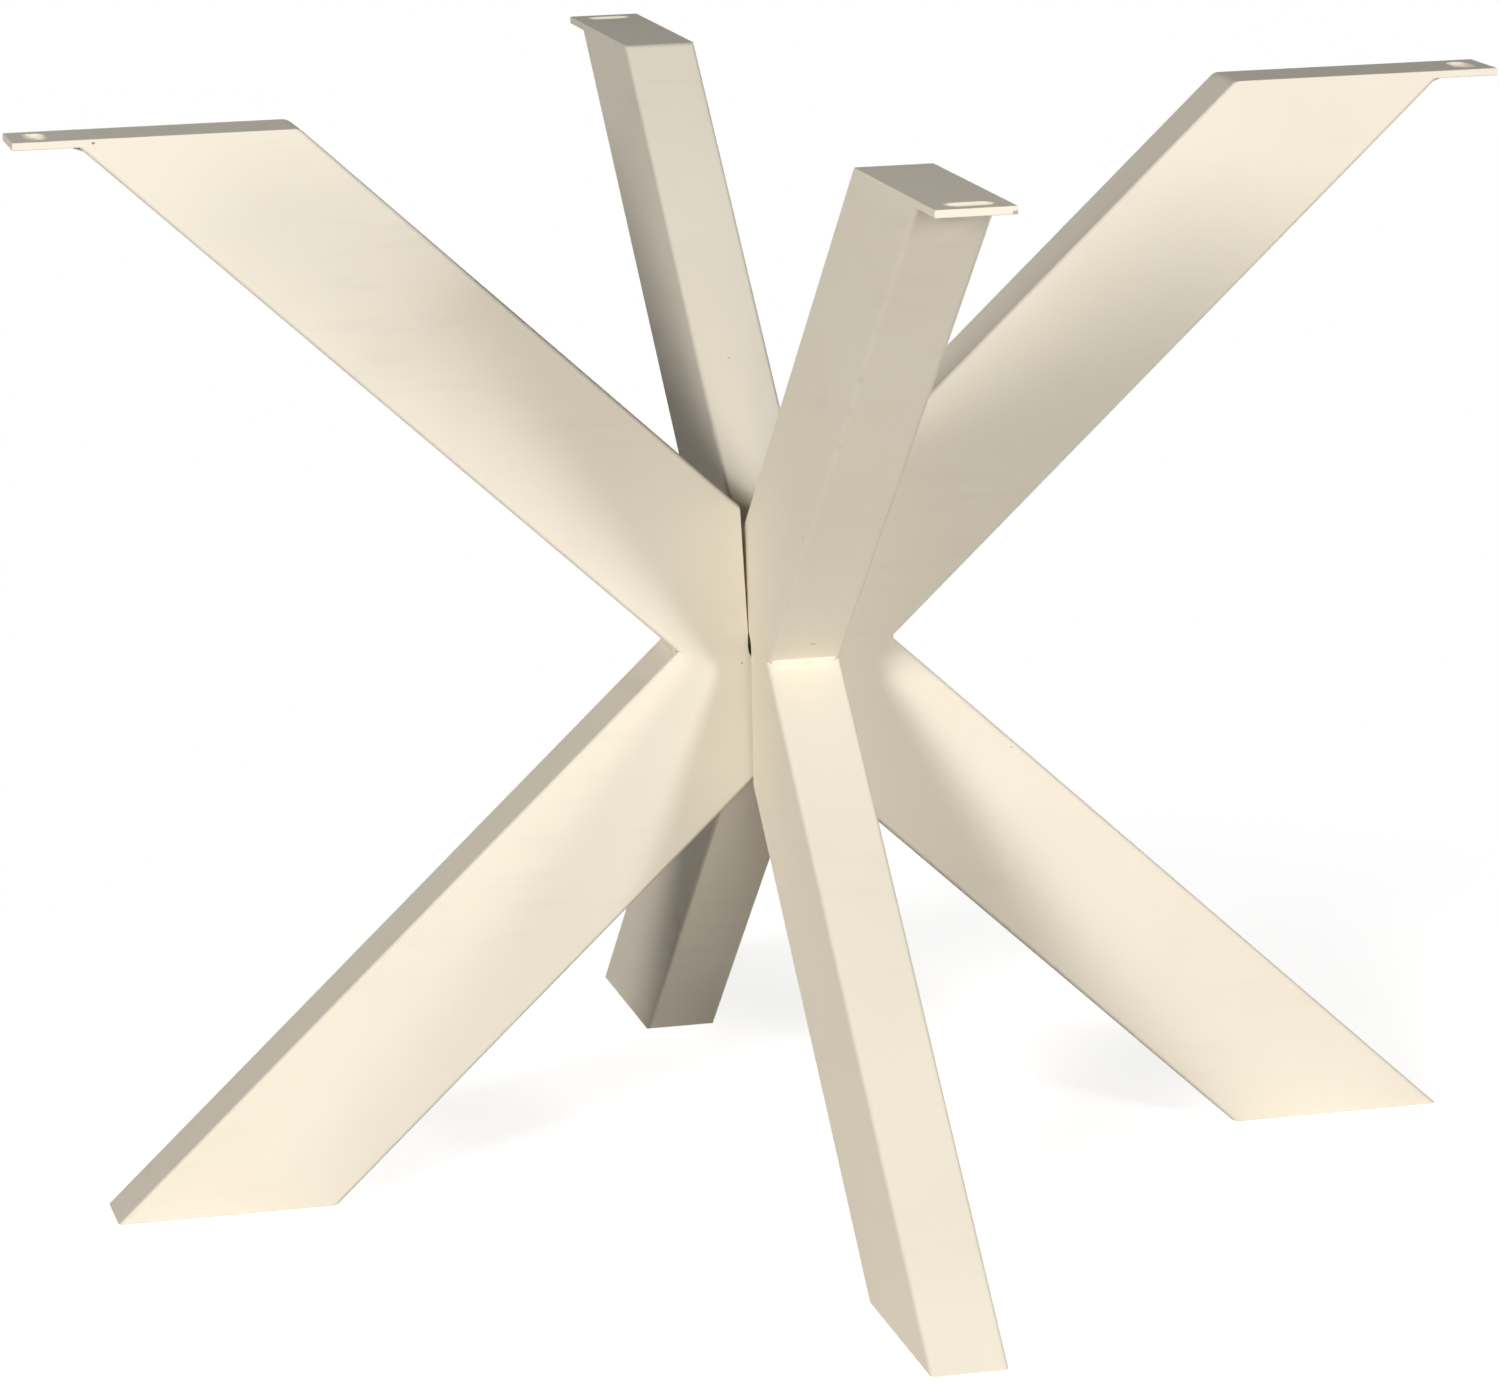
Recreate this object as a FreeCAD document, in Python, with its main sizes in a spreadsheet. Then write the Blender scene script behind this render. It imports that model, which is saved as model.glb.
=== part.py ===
import FreeCAD, Part
import math
import os
from collections import namedtuple
from enum import IntEnum

import Sketcher

# Crossed table base: two flat X frames of rectangular steel tube that slot into each other at
# right angles and carry a table top on four plates. Millimetres, +Z up, with the origin on the
# floor under the crossing. The cradle frame lies along X and its slot opens upwards. The saddle
# frame lies along Y, and its slot opens downwards, so that it drops over the cradle.
# Each frame has one long bar that runs through and two half bars that are coped against it.

SIZES = (
    ("height", 720, "floor to the top of the plates"),
    ("spread", 920, "outer width of a frame across its feet"),
    ("bar_depth", 100, "wide side of the tube, seen on the face of a frame"),
    ("bar_width", 50, "narrow side of the tube, across a frame"),
    ("bar_wall", 2, "wall of the tube"),
    ("bar_corner_radius", 3, "outer corner of the tube"),
    ("bar_inner_radius", 1, "inner corner of the tube"),
    ("cope_recess", 0.15, "depth of the seam where a half bar meets the long bar's corner"),
    ("slot_overrun", 10, "how far each slot passes mid height"),
    ("slot_root_radius", 10, "rounding of a slot's two inner corners"),
    ("slot_root_run", 12, "how far a slot stays parallel above that rounding"),
    ("seat_clearance", 0.5, "per side, at the root of the cradle's slot, where the frames locate"),
    ("cradle_mouth_clearance", 4.5, "per side, at the mouth of the cradle's slot"),
    ("saddle_slot_clearance", 5, "per side, along the saddle's slot"),
    ("slot_edge_radius", 5, "rounding of a slot's mouth"),
    ("liner_thickness", 3, "folded sheet that closes the tubes along a slot"),
    ("top_plate_thickness", 5, "plate that closes an upper arm and carries the table top"),
    ("foot_plate_thickness", 4, "plate that closes a foot"),
    ("plate_corner_radius", 9, "inner corner of both kinds of plate, dressed round"),
    ("ear_slot_offset", 20, "outer edge of an arm to the middle of its screw slot"),
    ("ear_slot_edge", 17, "middle of the screw slot to the tip of the plate"),
    ("ear_slot_length", 30, "screw slot, across the frame"),
    ("ear_slot_width", 14, "screw slot, along the frame"),
    ("corner_weld_leg", 2.5, "leg of the fillet welds in the notches of the X"),
    ("ear_weld_leg", 5, "leg of the fillet welds under the ears"),
)

# What follows from the sizes: the slope of the bars that just fits the height and the spread,
# and half a bar's depth measured level and plumb.
LAYOUT = (
    ("App::PropertyAngle", "bar_angle",
     "atan(Sizes.height / Sizes.spread)"
     " + asin(Sizes.bar_depth / hypot(Sizes.spread; Sizes.height))"),
    ("App::PropertyFloat", "slope", "tan(Layout.bar_angle)"),
    ("App::PropertyFloat", "middle", "Sizes.height / 2"),
    ("App::PropertyFloat", "level_half", "Sizes.bar_depth / 2 / sin(Layout.bar_angle)"),
    ("App::PropertyFloat", "plumb_half", "Sizes.bar_depth / 2 / cos(Layout.bar_angle)"),
    ("App::PropertyFloat", "bar_reach",
     "Layout.middle / sin(Layout.bar_angle) + Sizes.bar_depth / 2 / Layout.slope"),
    ("App::PropertyFloat", "plate_level", "Sizes.height - Sizes.top_plate_thickness"),
    ("App::PropertyFloat", "ear_slot_place", "Sizes.spread / 2 + Sizes.ear_slot_offset"),
    ("App::PropertyFloat", "corner_weld_run", "Sizes.corner_weld_leg * cos(Layout.bar_angle)"),
    ("App::PropertyFloat", "corner_weld_rise", "Sizes.corner_weld_leg * sin(Layout.bar_angle)"),
    ("App::PropertyFloat", "ear_weld_run", "Sizes.ear_weld_leg * cos(Layout.bar_angle)"),
    ("App::PropertyFloat", "ear_weld_rise", "Sizes.ear_weld_leg * sin(Layout.bar_angle)"),
)

# opens is 1 where the slot opens upwards and -1 where it opens downwards. The ends are named
# from the low side of the frame's own axis to the high side, and turn is about +Z in degrees.
Frame = namedtuple("Frame", "name opens turn root_clearance mouth_clearance ends")

FRAMES = (
    Frame("cradle", 1, 0, "Sizes.seat_clearance", "Sizes.cradle_mouth_clearance",
          ("left", "right")),
    Frame("saddle", -1, 90, "Sizes.saddle_slot_clearance", "Sizes.saddle_slot_clearance",
          ("front", "back")),
)

# A bar that climbs towards the frame's high side, and one that falls.
RISING, FALLING = -1, 1

# Both ways from its sketch, a cut this long leaves every piece.
RIGHT_THROUGH = "2 * Layout.bar_reach"


class Point(IntEnum):
    """The points of a line or an arc, as a sketch numbers them."""

    START = 1
    END = 2
    CENTRE = 3


class Axis(IntEnum):
    """A sketch's own axes, as it numbers them. Its origin is the start of the first."""

    ACROSS = -1
    UP = -2


def make_sheet(doc):
    """Enter the driving sizes, each under its own name."""
    sheet = doc.addObject("Spreadsheet::Sheet", "Sizes")
    for row, (name, size, meaning) in enumerate(SIZES, start=1):
        sheet.set(f"A{row}", meaning)
        sheet.set(f"B{row}", str(size))
        sheet.setAlias(f"B{row}", name)
    doc.recompute()
    return sheet


def make_layout(doc):
    """Work out the derived values, bound to the sheet."""
    layout = doc.addObject("App::VarSet", "Layout")
    for kind, name, expression in LAYOUT:
        layout.addProperty(kind, name, "Derived")
        layout.setExpression(name, expression)
        doc.recompute()
    return layout


def value(sketch, expression):
    """Return what an expression comes to now, to draw a sketch near its solved shape."""
    return float(sketch.evalExpression(expression))


def place_point(sketch, point, across, up):
    """Hold a point of a sketch at two expressions, or on an axis where one is "0"."""
    for kind, axis, expression in (("DistanceX", Axis.UP, across), ("DistanceY", Axis.ACROSS, up)):
        if expression == "0":
            sketch.addConstraint(Sketcher.Constraint("PointOnObject", *point, axis))
        else:
            now = value(sketch, expression)
            origin = (Axis.ACROSS, Point.START)
            index = sketch.addConstraint(Sketcher.Constraint(kind, *origin, *point, now))
            sketch.setExpression(f"Constraints[{index}]", expression)


def hold_radius(sketch, arc, expression):
    """Bind the radius of an arc."""
    now = value(sketch, expression)
    index = sketch.addConstraint(Sketcher.Constraint("Radius", arc, now))
    sketch.setExpression(f"Constraints[{index}]", expression)


def rounding(before, corner, after, radius):
    """Return where a rounding starts, its centre and where it ends."""
    inward = (before - corner).normalize()
    outward = (after - corner).normalize()
    half_angle = inward.getAngle(outward) / 2
    reach = radius / math.tan(half_angle)
    bisector = (inward + outward).normalize()
    centre = corner + bisector * (radius / math.sin(half_angle))
    return corner + inward * reach, centre, corner + outward * reach


def add_arc(sketch, centre, radius, first, last):
    """Draw the arc that runs anticlockwise from one point to another."""
    angles = [math.atan2(point.y - centre.y, point.x - centre.x) for point in (first, last)]
    circle = Part.Circle(centre, FreeCAD.Vector(0, 0, 1), radius)
    return sketch.addGeometry(Part.ArcOfCircle(circle, *angles))


def outline(sketch, corners):
    """Draw a closed outline through corners, each (across, up) or (across, up, radius)."""
    points = [FreeCAD.Vector(value(sketch, c[0]), value(sketch, c[1]), 0) for c in corners]
    following = points[1:] + points[:1]
    starts, ends, roundings = list(points), list(points), {}
    for i, corner in enumerate(corners):
        if len(corner) == 3:
            radius = value(sketch, corner[2])
            ends[i], centre, starts[i] = rounding(points[i - 1], points[i], following[i], radius)
            roundings[i] = (centre, radius)
    lines = [
        sketch.addGeometry(Part.LineSegment(start, end))
        for start, end in zip(starts, ends[1:] + ends[:1])
    ]
    for i, corner in enumerate(corners):
        before, after = lines[i - 1], lines[i]
        if i not in roundings:
            meeting = (before, Point.END, after, Point.START)
            sketch.addConstraint(Sketcher.Constraint("Coincident", *meeting))
            place_point(sketch, (after, Point.START), corner[0], corner[1])
            continue
        turns_left = (points[i] - points[i - 1]).cross(following[i] - points[i]).z > 0
        if turns_left:
            arc = add_arc(sketch, *roundings[i], ends[i], starts[i])
            first, last = Point.START, Point.END
        else:
            arc = add_arc(sketch, *roundings[i], starts[i], ends[i])
            first, last = Point.END, Point.START
        sketch.addConstraint(Sketcher.Constraint("Tangent", before, Point.END, arc, first))
        sketch.addConstraint(Sketcher.Constraint("Tangent", arc, last, after, Point.START))
        hold_radius(sketch, arc, corner[2])
        tip = sketch.addGeometry(Part.Point(points[i]), True)
        sketch.addConstraint(Sketcher.Constraint("PointOnObject", tip, Point.START, before))
        sketch.addConstraint(Sketcher.Constraint("PointOnObject", tip, Point.START, after))
        place_point(sketch, (tip, Point.START), corner[0], corner[1])


def rectangle(half_across, half_up, radius):
    """Return the corners of a rounded rectangle about the sketch's origin."""
    return [
        (f"{side}({half_across})", f"{level}({half_up})", radius)
        for side, level in (("-", "-"), ("", "-"), ("", ""), ("-", ""))
    ]


def add_sketch(body, role, name):
    """Add a sketch on one of a body's own origin planes."""
    plane = next(item for item in body.Origin.OriginFeatures if item.Role == role)
    sketch = body.newObject("Sketcher::SketchObject", name)
    sketch.AttachmentSupport = (plane, [""])
    sketch.MapMode = "FlatFace"
    return sketch


def add_section_sketch(body, name, direction):
    """Add a sketch through the crossing, square to a bar: its up axis is the bar's depth."""
    sketch = add_sketch(body, "YZ_Plane", name)
    tilt_axis = FreeCAD.Rotation(FreeCAD.Vector(1, 0, 0), direction)
    sketch.AttachmentOffset = FreeCAD.Placement(FreeCAD.Vector(), tilt_axis)
    sketch.setExpression("AttachmentOffset.Base.y", "Layout.middle")
    sketch.setExpression("AttachmentOffset.Rotation.Angle", f"{direction} * Layout.bar_angle")
    body.Document.recompute()
    return sketch


def add_feature(body, kind, sketch, length):
    """Pad or pocket a sketch by the same amount to both sides of its plane."""
    feature = body.newObject(f"PartDesign::{kind}", f"{sketch.Label}_{kind.lower()}")
    feature.Profile = sketch
    feature.SideType = "Symmetric"
    feature.setExpression("Length", length)
    return feature


def new_body(doc, frame, name):
    """Start a sub-part of a frame. Its node takes the label."""
    label = f"{frame.name}_{name}"
    body = doc.addObject("PartDesign::Body", label)
    body.Label = label
    turn = FreeCAD.Rotation(FreeCAD.Vector(0, 0, 1), frame.turn)
    body.Placement = FreeCAD.Placement(FreeCAD.Vector(), turn)
    return body


def arm_edge(side, level, edge):
    """Return how far out an arm's edge is at a level above mid height: edge is "+" or "-"."""
    return f"{side} * (({level}) / Layout.slope {edge} Layout.level_half)"


def tube(body, direction):
    """Pad a whole bar through the crossing, long enough to be trimmed level at both ends."""
    section = add_section_sketch(body, "section", direction)
    outline(section, rectangle("Sizes.bar_width / 2", "Sizes.bar_depth / 2", "Sizes.bar_corner_radius"))
    outline(section, rectangle(
        "Sizes.bar_width / 2 - Sizes.bar_wall", "Sizes.bar_depth / 2 - Sizes.bar_wall",
        "Sizes.bar_inner_radius"))
    return add_feature(body, "Pad", section, "2 * Layout.bar_reach")


def half_tube(body, upper):
    """Pad half of the rising bar, from the crossing up or down."""
    pad = tube(body, RISING)
    pad.SideType = "One side"
    pad.setExpression("Length", "Layout.bar_reach")
    pad.Reversed = not upper


def trim_ends(body):
    """Cut a bar level under the top plate and above the foot plate."""
    sketch = add_sketch(body, "XZ_Plane", "ends")
    for stop, beyond in (
        ("Layout.plate_level", "Sizes.height + Sizes.bar_depth"),
        ("Sizes.foot_plate_thickness", "-Sizes.bar_depth"),
    ):
        outline(sketch, [
            ("-Sizes.spread", stop), ("Sizes.spread", stop),
            ("Sizes.spread", beyond), ("-Sizes.spread", beyond),
        ])
    add_feature(body, "Pocket", sketch, RIGHT_THROUGH)


def cope(body):
    """Shape the end of a half bar to the long bar: flat on its narrow side and over its corners.

    The end stops where the long bar's corner is only cope_recess below its broad face.
    """
    wide = "Sizes.bar_width"
    over = "Sizes.bar_corner_radius - Sizes.cope_recess"
    stop = (
        "Sizes.bar_depth / 2 - Sizes.bar_corner_radius"
        f" + sqrt(Sizes.bar_corner_radius ^ 2 - ({over}) ^ 2)"
    )
    band = add_section_sketch(body, "cope_band", FALLING)
    outline(band, [
        (f"-{wide}", f"-({stop})"), (wide, f"-({stop})"), (wide, stop), (f"-{wide}", stop),
    ])
    add_feature(body, "Pocket", band, RIGHT_THROUGH)
    envelope = add_section_sketch(body, "cope_envelope", FALLING)
    outline(envelope, rectangle("Sizes.bar_width / 2", "Sizes.bar_depth / 2", "Sizes.bar_corner_radius"))
    add_feature(body, "Pocket", envelope, RIGHT_THROUGH)


def from_middle(frame, distance):
    """Return the level that is a distance towards the open end of a frame's slot."""
    sign = "+" if frame.opens > 0 else "-"
    return f"Layout.middle {sign} ({distance})"


def slot_outline(sketch, frame, wall="0"):
    """Draw a frame's slot: parallel at the root, and from there straight to its mouth.

    With a wall it is that much larger all round, which is the outside of the liner.
    """
    bare = wall == "0"
    root = f"Sizes.bar_width / 2 + {frame.root_clearance} + {wall}"
    mouth = f"Sizes.bar_width / 2 + {frame.mouth_clearance} + {wall}"
    beyond = f"{mouth} + 3 / 4 * Sizes.slot_edge_radius"
    floor = from_middle(frame, f"-(Sizes.slot_overrun + {wall})")
    throat = from_middle(frame, "Sizes.slot_root_radius + Sizes.slot_root_run - Sizes.slot_overrun")
    mouth_level = from_middle(frame, f"Layout.plumb_half + ({mouth}) * Layout.slope")
    beyond_level = from_middle(frame, f"Layout.plumb_half + ({beyond}) * Layout.slope")
    top = from_middle(frame, "Layout.middle")
    half = [(root, floor, f"Sizes.slot_root_radius + {wall}"), (root, throat)]
    if bare:
        half += [(mouth, mouth_level, "Sizes.slot_edge_radius"), (beyond, beyond_level), (beyond, top)]
    else:
        half += [(mouth, mouth_level), (mouth, top)]
    other_half = [(f"-({corner[0]})", *corner[1:]) for corner in reversed(half)]
    outline(sketch, half + other_half)


def cut_slot(body, frame):
    """Cut a frame's slot through a bar, and its narrow sides back to the liner."""
    slot = add_sketch(body, "XZ_Plane", "slot")
    slot_outline(slot, frame)
    add_feature(body, "Pocket", slot, RIGHT_THROUGH)
    seat = add_sketch(body, "XZ_Plane", "liner_seat")
    slot_outline(seat, frame, "Sizes.liner_thickness")
    add_feature(body, "Pocket", seat, "Sizes.bar_width - 2 * Sizes.bar_wall")


def build_long_bar(doc, frame):
    """Build the bar that runs through from the low side's top to the high side's foot."""
    body = new_body(doc, frame, "long_bar")
    tube(body, FALLING)
    trim_ends(body)
    cut_slot(body, frame)
    return body


def build_half_bar(doc, frame, upper):
    """Build one of the two half bars, coped against the long bar."""
    body = new_body(doc, frame, "upper_bar" if upper else "lower_bar")
    half_tube(body, upper)
    trim_ends(body)
    cope(body)
    if upper == (frame.opens > 0):
        cut_slot(body, frame)
    return body


def build_liner(doc, frame):
    """Build the folded sheet that lines a slot between the tubes' broad walls."""
    body = new_body(doc, frame, "slot_liner")
    outside = add_sketch(body, "XZ_Plane", "outside")
    slot_outline(outside, frame, "Sizes.liner_thickness")
    add_feature(body, "Pad", outside, "Sizes.bar_width - 2 * Sizes.bar_wall")
    notch = add_sketch(body, "XZ_Plane", "notch")
    reach = "Sizes.bar_depth"
    reach_level = from_middle(frame, f"Layout.plumb_half + {reach} * Layout.slope")
    top = from_middle(frame, "Layout.middle + Sizes.bar_depth")
    outline(notch, [
        ("0", from_middle(frame, "Layout.plumb_half")),
        (reach, reach_level), (reach, top), (f"-{reach}", top), (f"-{reach}", reach_level),
    ])
    add_feature(body, "Pocket", notch, RIGHT_THROUGH)
    inside = add_sketch(body, "XZ_Plane", "inside")
    slot_outline(inside, frame)
    add_feature(body, "Pocket", inside, RIGHT_THROUGH)
    return body


def round_corners(body, direction, edges):
    """Round a plate's corners flush with the tube that it closes.

    An edge is 1 for the two corners on the tube's upper side and -1 for those on its lower side.
    """
    sketch = add_section_sketch(body, "corners", direction)
    radius = "Sizes.bar_corner_radius"
    flank, edge_level = "Sizes.bar_width / 2", "Sizes.bar_depth / 2"
    for side in (-1, 1):
        for edge in edges:
            outline(sketch, [
                (f"{side} * ({across})", f"{edge} * ({up})", *rounded)
                for across, up, *rounded in (
                    (f"{flank} - 2 * {radius}", edge_level),
                    (flank, edge_level, radius),
                    (flank, f"{edge_level} - 2 * {radius}"),
                    (f"{flank} + {radius}", f"{edge_level} - 2 * {radius}"),
                    (f"{flank} + {radius}", f"{edge_level} + {radius}"),
                    (f"{flank} - 2 * {radius}", f"{edge_level} + {radius}"),
                )
            ])
    add_feature(body, "Pocket", sketch, RIGHT_THROUGH)


def build_top_plate(doc, frame, side, end):
    """Build the plate on one upper arm, with its ear and the screw slot across it."""
    body = new_body(doc, frame, f"plate_{end}")
    profile = add_sketch(body, "XZ_Plane", "profile")
    tip = f"{side} * (Layout.ear_slot_place + Sizes.ear_slot_edge)"
    outline(profile, [
        (arm_edge(side, "Layout.plate_level - Layout.middle", "-"), "Layout.plate_level"),
        (arm_edge(side, "Layout.middle", "-"), "Sizes.height", "Sizes.plate_corner_radius"),
        (tip, "Sizes.height"),
        (tip, "Layout.plate_level"),
    ])
    add_feature(body, "Pad", profile, "Sizes.bar_width")
    round_corners(body, RISING if side > 0 else FALLING, (1,))
    hole = add_sketch(body, "XY_Plane", "screw_slot")
    hole.setExpression("AttachmentOffset.Base.z", "Layout.plate_level")
    draw_cross_slot(hole, side)
    add_feature(body, "Pocket", hole, RIGHT_THROUGH)
    return body


def draw_cross_slot(sketch, side):
    """Draw the round-ended screw slot, which runs across the frame."""
    place = f"{side} * Layout.ear_slot_place"
    radius = "Sizes.ear_slot_width / 2"
    run = f"Sizes.ear_slot_length / 2 - {radius}"
    middle, half, reach = value(sketch, place), value(sketch, radius), value(sketch, run)
    arcs = []
    for sign, turn in ((1, 0), (-1, math.pi)):
        circle = Part.Circle(FreeCAD.Vector(middle, sign * reach, 0), FreeCAD.Vector(0, 0, 1), half)
        arc = sketch.addGeometry(Part.ArcOfCircle(circle, turn, turn + math.pi))
        hold_radius(sketch, arc, radius)
        place_point(sketch, (arc, Point.CENTRE), place, f"{sign} * ({run})")
        arcs.append(arc)
    for sign, (first, second) in ((-1, arcs), (1, reversed(arcs))):
        edge = middle + sign * half
        line = sketch.addGeometry(Part.LineSegment(
            FreeCAD.Vector(edge, -sign * reach, 0), FreeCAD.Vector(edge, sign * reach, 0)))
        sketch.addConstraint(Sketcher.Constraint("Tangent", first, Point.END, line, Point.START))
        sketch.addConstraint(Sketcher.Constraint("Tangent", line, Point.END, second, Point.START))


def build_foot_plate(doc, frame, side, end):
    """Build the plate that closes one foot, flush with the sloping sides of the arm."""
    body = new_body(doc, frame, f"foot_{end}")
    profile = add_sketch(body, "XZ_Plane", "profile")
    seam = "Layout.middle - Sizes.foot_plate_thickness"
    outline(profile, [
        (arm_edge(side, seam, "-"), "Sizes.foot_plate_thickness"),
        (arm_edge(side, "Layout.middle", "-"), "0", "Sizes.plate_corner_radius"),
        (arm_edge(side, "Layout.middle", "+"), "0"),
        (arm_edge(side, seam, "+"), "Sizes.foot_plate_thickness"),
    ])
    add_feature(body, "Pad", profile, "Sizes.bar_width")
    round_corners(body, FALLING if side > 0 else RISING, (-1, 1))
    return body


def add_welds(body, triangles):
    """Pad a group of fillet welds across the flat of the tubes' narrow sides."""
    body.AllowCompound = True
    sketch = add_sketch(body, "XZ_Plane", "beads")
    for triangle in triangles:
        outline(sketch, triangle)
    add_feature(body, "Pad", sketch, "Sizes.bar_width - 2 * Sizes.bar_corner_radius")


def build_corner_welds(doc, frame):
    """Build the welds in the three notches of the X that the slot leaves."""
    body = new_body(doc, frame, "corner_welds")
    triangles = []
    for side in ("-", ""):
        run = f"{side}(Layout.level_half + Layout.corner_weld_run)"
        triangles.append([
            (f"{side}Layout.level_half", "Layout.middle"),
            (run, "Layout.middle + Layout.corner_weld_rise"),
            (run, "Layout.middle - Layout.corner_weld_rise"),
        ])
    closed = from_middle(frame, "-(Layout.plumb_half + Layout.corner_weld_rise)")
    triangles.append([
        ("0", from_middle(frame, "-Layout.plumb_half")),
        ("Layout.corner_weld_run", closed), ("-Layout.corner_weld_run", closed),
    ])
    add_welds(body, triangles)
    return body


def build_ear_welds(doc, frame):
    """Build the welds under the two ears, where they leave the arms."""
    body = new_body(doc, frame, "ear_welds")
    triangles = []
    for side in (-1, 1):
        edge = arm_edge(side, "Layout.plate_level - Layout.middle", "+")
        triangles.append([
            (edge, "Layout.plate_level"),
            (f"{edge} + {side} * Sizes.ear_weld_leg", "Layout.plate_level"),
            (f"{edge} - {side} * Layout.ear_weld_run", "Layout.plate_level - Layout.ear_weld_rise"),
        ])
    add_welds(body, triangles)
    return body


def build_frame(doc, frame):
    """Build one X frame and return its sub-parts."""
    bodies = [
        build_long_bar(doc, frame),
        build_half_bar(doc, frame, upper=True),
        build_half_bar(doc, frame, upper=False),
        build_liner(doc, frame),
    ]
    for side, end in zip((-1, 1), frame.ends):
        bodies.append(build_top_plate(doc, frame, side, end))
        bodies.append(build_foot_plate(doc, frame, side, end))
    bodies.append(build_corner_welds(doc, frame))
    bodies.append(build_ear_welds(doc, frame))
    return bodies


def check(doc, bodies):
    """Stop if anything failed, or if a pocket took nothing away."""
    for item in doc.Objects:
        if "Invalid" in item.State or "Error" in item.State:
            raise RuntimeError(f"{item.Label} did not build: {item.State}")
        if item.TypeId == "PartDesign::Pocket" and item.Shape.Volume >= item.BaseFeature.Shape.Volume:
            raise RuntimeError(f"{item.Label} cuts nothing")
    for body in bodies:
        if body.Shape.isNull() or not body.Shape.isValid():
            raise RuntimeError(f"{body.Label} has no valid shape")


def main():
    """Build both frames, check them and write each sub-part to its own file."""
    doc = FreeCAD.newDocument("crossed_table_base")
    make_sheet(doc)
    make_layout(doc)
    bodies = []
    for frame in FRAMES:
        bodies += build_frame(doc, frame)
    doc.recompute()
    check(doc, bodies)
    os.makedirs("parts", exist_ok=True)
    for body in bodies:
        body.Shape.exportStep(f"parts/{body.Label}.step")
        print(f"{body.Label}: {body.Shape.Volume / 1000:.1f} cm3, solids {len(body.Shape.Solids)}")


main()
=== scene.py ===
"""Crossed steel table base in a cream powder coat, dressed for a plain studio picture.

Two flat X frames of rectangular tube slot into each other: the cradle lies along X and the
saddle along Y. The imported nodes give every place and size. Here their cut edges are dressed
round, the weld beads get their ripples, the seams across the broad faces get their ground-flush
welds, and the powder coat gets its peel, its thin edges and its few handling marks.
"""

import logging
import math
from collections.abc import Callable
from dataclasses import dataclass, field
from enum import Enum
from typing import Any

import bmesh
import bpy
from mathutils import Matrix, Vector


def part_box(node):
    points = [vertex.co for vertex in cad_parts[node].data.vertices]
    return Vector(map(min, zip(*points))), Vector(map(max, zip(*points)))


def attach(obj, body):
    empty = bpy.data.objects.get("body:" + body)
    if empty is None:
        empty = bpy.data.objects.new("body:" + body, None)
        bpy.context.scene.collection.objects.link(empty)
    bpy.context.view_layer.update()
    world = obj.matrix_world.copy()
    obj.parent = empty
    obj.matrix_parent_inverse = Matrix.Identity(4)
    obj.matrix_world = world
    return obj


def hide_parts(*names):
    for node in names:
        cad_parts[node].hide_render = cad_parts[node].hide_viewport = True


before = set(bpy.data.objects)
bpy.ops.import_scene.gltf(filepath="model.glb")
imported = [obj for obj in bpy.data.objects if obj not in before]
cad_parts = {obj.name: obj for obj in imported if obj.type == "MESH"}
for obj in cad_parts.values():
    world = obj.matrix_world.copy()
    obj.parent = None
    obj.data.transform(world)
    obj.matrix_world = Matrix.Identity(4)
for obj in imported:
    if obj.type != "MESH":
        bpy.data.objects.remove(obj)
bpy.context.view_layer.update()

log = logging.getLogger("crossed_base")

BODY = "root"

# Distances in metres and turns in degrees.
TOUCHING = 1e-6
FLAT_TURN = 0.2
SOFT_TURN = 5.0

# Where each effect's mask starts and where it is full, and how fine a mark's ragged edge is.
CLOUD_SPAN = (0.3, 0.7)
RIM_SPAN = (0.2, 0.9)
WORN_FULLY = 0.75
SMEAR_SPAN = (0.52, 0.7)
SMEAR_ZONE_SPAN = (0.5, 0.62)
MARK_RAGGEDNESS = 0.0012
MARK_EDGE = (1.1, 1.5)

Colour = tuple[float, float, float]
Place = tuple[float, float, float]
Pair = tuple[float, float]


class Lie(Enum):
    """Which way a frame lies, by the name that its nodes start with."""

    CRADLE = "cradle"
    SADDLE = "saddle"

    @property
    def turn(self) -> Matrix:
        """Return the turn from the frame's own axes to the base's."""
        quarters = 0 if self is Lie.CRADLE else 1
        return Matrix.Rotation(quarters * math.pi / 2, 4, "Z")

    @property
    def opens(self) -> int:
        """Return 1 where the frame's slot opens upwards and -1 where it opens downwards."""
        return 1 if self is Lie.CRADLE else -1

    @property
    def ends(self) -> tuple[str, str]:
        """Return the names of the frame's low and high ends."""
        return ("left", "right") if self is Lie.CRADLE else ("front", "back")


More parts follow.
